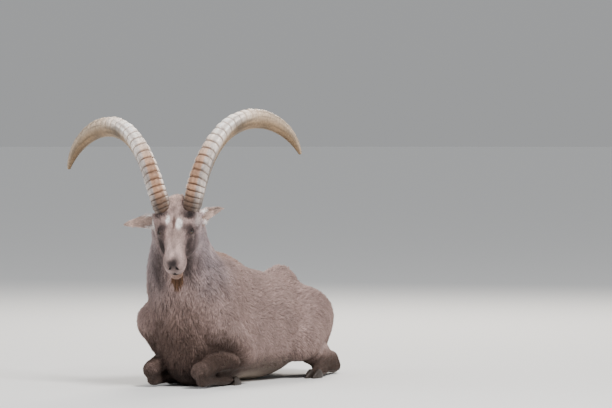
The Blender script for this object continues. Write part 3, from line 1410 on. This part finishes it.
def painted_material(name, scale, amount, bump, roughness, coat=0.0, coat_roughness=0.1):
    """A material that takes its colour from the piece's own attribute, with fine specks."""
    material, nodes, links, shader = new_material(name)
    if nodes is None:
        return material
    paint = nodes.new("ShaderNodeAttribute")
    paint.attribute_name = "coat_colour"
    specks = nodes.new("ShaderNodeGroup")
    specks.node_tree = speckle_group()
    specks.inputs["Scale"].default_value = scale
    specks.inputs["Amount"].default_value = amount
    links.new(paint.outputs["Color"], specks.inputs["Color"])
    links.new(specks.outputs["Color"], shader.inputs["Base Color"])
    if bump:
        relief = nodes.new("ShaderNodeBump")
        relief.inputs["Strength"].default_value = 0.6
        relief.inputs["Distance"].default_value = bump * MM
        links.new(specks.outputs["Height"], relief.inputs["Height"])
        links.new(relief.outputs["Normal"], shader.inputs["Normal"])
    shader.inputs["Roughness"].default_value = roughness
    shader.inputs["Specular IOR Level"].default_value = 0.3
    shader.inputs["Coat Weight"].default_value = coat
    shader.inputs["Coat Roughness"].default_value = coat_roughness
    return material


def coat_material():
    return painted_material("Coat hair", 260.0, 0.16, 0.0, 0.8)


def skin_material():
    return painted_material("Skin and short fur", 420.0, 0.22, 1.2, 0.75)


def horn_material():
    return painted_material("Horn", 130.0, 0.22, 1.2, 0.5)


def eye_material():
    return painted_material("Eye", 400.0, 0.05, 0.0, 0.2, coat=1.0, coat_roughness=0.03)


def hoof_material():
    """Dark hoof wall with faint growth lines."""
    material, nodes, links, shader = new_material("Hoof wall")
    if nodes is None:
        return material
    place = nodes.new("ShaderNodeTexCoord")
    lines = nodes.new("ShaderNodeTexWave")
    lines.bands_direction = "Z"
    lines.inputs["Scale"].default_value = 90.0
    lines.inputs["Distortion"].default_value = 2.5
    ramp = nodes.new("ShaderNodeValToRGB")
    ramp.color_ramp.elements[0].color = (*linear((38, 32, 29)), 1)
    ramp.color_ramp.elements[1].color = (*linear((62, 53, 47)), 1)
    relief = nodes.new("ShaderNodeBump")
    relief.inputs["Distance"].default_value = 0.3 * MM
    links.new(place.outputs["Object"], lines.inputs["Vector"])
    links.new(lines.outputs["Fac"], ramp.inputs["Fac"])
    links.new(lines.outputs["Fac"], relief.inputs["Height"])
    links.new(ramp.outputs["Color"], shader.inputs["Base Color"])
    links.new(relief.outputs["Normal"], shader.inputs["Normal"])
    shader.inputs["Roughness"].default_value = 0.45
    return material


# Stage.

CAMERA_AIM = arr(450.2, -407.1, 622.3)
CAMERA_TURN = math.radians(25)
CAMERA_HEIGHT = math.radians(1.5)
CAMERA_DISTANCE = 15.0
CAMERA_LENS = 264.7
CAMERA_SENSOR = 36.0
CAMERA_END = 200.0
FLOOR_RADIUS = 60.0
FILL_SHARE = 0.18
BACK_SHARE = 0.5
SKY_LOW = (0.62, 0.63, 0.64, 1)
SKY_HIGH = (1.0, 1.02, 1.05, 1)


def make_camera():
    """The camera at the photo's own place and turn."""
    aim = Vector(to_row(CAMERA_AIM))
    level = math.cos(CAMERA_HEIGHT)
    back = Vector((math.sin(CAMERA_TURN) * level, -math.cos(CAMERA_TURN) * level, math.sin(CAMERA_HEIGHT)))
    camera = bpy.data.objects.new("Camera", bpy.data.cameras.new("Camera"))
    camera.data.sensor_width = CAMERA_SENSOR
    camera.data.lens = CAMERA_LENS
    camera.data.clip_end = CAMERA_END
    camera.location = aim + back * CAMERA_DISTANCE
    camera.rotation_euler = (-back).to_track_quat("-Z", "Y").to_euler()
    bpy.context.scene.collection.objects.link(camera)
    bpy.context.scene.camera = camera


def make_floor(colour):
    form = bmesh.new()
    bmesh.ops.create_circle(form, cap_ends=True, radius=FLOOR_RADIUS, segments=96)
    floor = from_form("floor", form)
    material, _, _, shader = new_material("Pale floor")
    shader.inputs["Base Color"].default_value = colour
    shader.inputs["Roughness"].default_value = 0.9
    floor.data.materials.append(material)


def add_light(name, place, aim, size, power, colour):
    light = bpy.data.lights.new(name, "AREA")
    light.shape = "DISK"
    light.size = size
    light.energy = power
    light.color = colour
    obj = bpy.data.objects.new(name, light)
    obj.location = place
    obj.rotation_euler = (Vector(aim) - Vector(place)).to_track_quat("-Z", "Y").to_euler()
    bpy.context.scene.collection.objects.link(obj)


def make_sky(strength):
    """Light from all round, a little brighter from above."""
    world = bpy.data.worlds.new("Studio")
    world.use_nodes = True
    nodes, links = world.node_tree.nodes, world.node_tree.links
    sky = nodes["Background"]
    sky.inputs["Strength"].default_value = strength
    place = nodes.new("ShaderNodeTexCoord")
    height = nodes.new("ShaderNodeSeparateXYZ")
    shade = nodes.new("ShaderNodeValToRGB")
    shade.color_ramp.elements[0].color = SKY_LOW
    shade.color_ramp.elements[1].color = SKY_HIGH
    links.new(place.outputs["Generated"], height.inputs["Vector"])
    links.new(height.outputs["Z"], shade.inputs["Fac"])
    links.new(shade.outputs["Color"], sky.inputs["Color"])
    bpy.context.scene.world = world


def make_stage(settings):
    power = settings.key_power
    make_camera()
    make_floor(settings.floor_colour)
    add_light("Key", (4.2, -3.0, 5.6), (0, -0.2, 0.4), 2.0, power, (1.0, 0.98, 0.96))
    add_light("Fill", (-4.5, -3.0, 2.4), (0, -0.2, 0.4), 4.0, power * FILL_SHARE, (0.95, 0.97, 1.0))
    add_light("Back", (-1.0, 4.5, 4.0), (0, 0, 0.4), 3.0, power * BACK_SHARE, (1.0, 0.93, 0.84))
    make_sky(settings.sky)


# Settings.

class IbexCoatSettings(bpy.types.PropertyGroup):
    """Sizes of the skin's mesh and of the coat."""

    voxel: FloatProperty(name="Skin mesh", description="Size of the skin's quads on the body",
                         default=0.0075, min=0.005, max=0.02, unit="LENGTH")
    length: FloatProperty(name="Length", description="Length of the tufts against the usual one",
                          default=1.0, min=0.4, max=1.6)
    spread: FloatProperty(name="Spread", description="Distance between the roots against a tuft's width",
                          default=1.25, min=1.0, max=3.0)
    clump: FloatProperty(name="Clumping", description="How far tufts lean towards their clump's middle",
                         default=0.45, min=0.0, max=1.0)
    clump_size: IntProperty(name="Tufts in a clump", description="How many tufts share one clump",
                            default=26, min=4, max=100)
    seed: IntProperty(name="Seed", description="Seed of all random draws in the coat", default=4, min=0)


class IbexBeardSettings(bpy.types.PropertyGroup):
    """Sizes of the beard."""

    strands: IntProperty(name="Strands", description="Number of strands in the beard",
                         default=520, min=50, max=5000)
    length: FloatProperty(name="Length", description="Length of the longest strands",
                          default=0.072, min=0.02, max=0.2, unit="LENGTH")
    seed: IntProperty(name="Seed", description="Seed of all random draws in the beard", default=9, min=0)


class IbexHornSettings(bpy.types.PropertyGroup):
    """Sizes of the horns."""

    ridge_rise: FloatProperty(name="Ridges", description="How far the ridges stand out near the base",
                              default=0.007, min=0.0, max=0.015, unit="LENGTH")


class IbexEyeSettings(bpy.types.PropertyGroup):
    """Colours of the eyes."""

    iris: FloatVectorProperty(name="Iris", description="Colour of the ring round the pupil", subtype="COLOR",
                              size=4, default=(0.11, 0.06, 0.025, 1.0), min=0.0, max=1.0)


class IbexStageSettings(bpy.types.PropertyGroup):
    """Light and floor."""

    floor_colour: FloatVectorProperty(name="Floor", description="Colour of the floor", subtype="COLOR",
                                      size=4, default=(0.78, 0.78, 0.77, 1.0), min=0.0, max=1.0)
    key_power: FloatProperty(name="Key light", description="Power of the main light", default=680.0, min=0.0,
                             unit="POWER")
    sky: FloatProperty(name="Sky", description="Strength of the light from all round", default=0.6, min=0.0)


# Operators.

class IBEX_OT_skin(bpy.types.Operator):
    """Make the one skin under the coat, with lids, nostrils, mouth and ears."""

    bl_idname = "ibex.skin"
    bl_label = "Skin"

    def execute(self, context):
        skin = make_skin(context.scene.ibex_coat.voxel)
        finish_piece(skin, "coat", *FLESH, "head", "ear_left", "ear_right")
        return {"FINISHED"}


class IBEX_OT_coat(bpy.types.Operator):
    """Cover the skin with the tufts of the coat."""

    bl_idname = "ibex.coat"
    bl_label = "Coat"

    def execute(self, context):
        make_coat(bpy.data.objects["skin"], context.scene.ibex_coat)
        return {"FINISHED"}


class IBEX_OT_beard(bpy.types.Operator):
    """Hang the beard from the chin, and add the lashes and the hairs in the ears."""

    bl_idname = "ibex.beard"
    bl_label = "Beard"

    def execute(self, context):
        make_beard(bpy.data.objects["skin"], context.scene.ibex_beard)
        make_lashes()
        make_ear_hairs(bpy.data.objects["skin"])
        return {"FINISHED"}


class IBEX_OT_horns(bpy.types.Operator):
    """Make both horns."""

    bl_idname = "ibex.horns"
    bl_label = "Horns"

    def execute(self, context):
        for side in SIDES:
            make_horn(side, context.scene.ibex_horns)
        return {"FINISHED"}


class IBEX_OT_eyes(bpy.types.Operator):
    """Make both eyes."""

    bl_idname = "ibex.eyes"
    bl_label = "Eyes"

    def execute(self, context):
        for side in SIDES:
            make_eye(side, context.scene.ibex_eyes)
        return {"FINISHED"}


class IBEX_OT_hooves(bpy.types.Operator):
    """Make the eight claws of the hooves."""

    bl_idname = "ibex.hooves"
    bl_label = "Hooves"

    def execute(self, context):
        for node in sorted(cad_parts):
            if node.startswith("hoof_"):
                make_hoof(node)
        return {"FINISHED"}


class IBEX_OT_stage(bpy.types.Operator):
    """Set the floor, the lights and the camera."""

    bl_idname = "ibex.stage"
    bl_label = "Stage"

    def execute(self, context):
        make_stage(context.scene.ibex_stage)
        return {"FINISHED"}


class IBEX_PT_panel(bpy.types.Panel):
    """The ibex's settings and buttons."""

    bl_label = "Resting alpine ibex"
    bl_space_type = "VIEW_3D"
    bl_region_type = "UI"
    bl_category = "Ibex"

    def draw(self, context):
        for name, _, operators in SECTIONS:
            box = self.layout.box()
            settings = getattr(context.scene, name)
            for field in settings.bl_rna.properties:
                if field.identifier not in {"rna_type", "name"}:
                    box.prop(settings, field.identifier)
            for operator in operators:
                box.operator(operator.bl_idname)


SECTIONS = [
    ("ibex_coat", IbexCoatSettings, [IBEX_OT_skin, IBEX_OT_coat]),
    ("ibex_beard", IbexBeardSettings, [IBEX_OT_beard]),
    ("ibex_horns", IbexHornSettings, [IBEX_OT_horns]),
    ("ibex_eyes", IbexEyeSettings, [IBEX_OT_eyes, IBEX_OT_hooves]),
    ("ibex_stage", IbexStageSettings, [IBEX_OT_stage]),
]


def register():
    for name, settings, operators in SECTIONS:
        bpy.utils.register_class(settings)
        setattr(bpy.types.Scene, name, PointerProperty(type=settings))
        for operator in operators:
            bpy.utils.register_class(operator)
    bpy.utils.register_class(IBEX_PT_panel)


def unregister():
    bpy.utils.unregister_class(IBEX_PT_panel)
    for name, settings, operators in reversed(SECTIONS):
        for operator in reversed(operators):
            bpy.utils.unregister_class(operator)
        delattr(bpy.types.Scene, name)
        bpy.utils.unregister_class(settings)


def main():
    register()
    bpy.ops.ibex.skin()
    bpy.ops.ibex.coat()
    bpy.ops.ibex.beard()
    bpy.ops.ibex.horns()
    bpy.ops.ibex.eyes()
    bpy.ops.ibex.hooves()
    bpy.ops.ibex.stage()


if __name__ == "__main__":
    main()
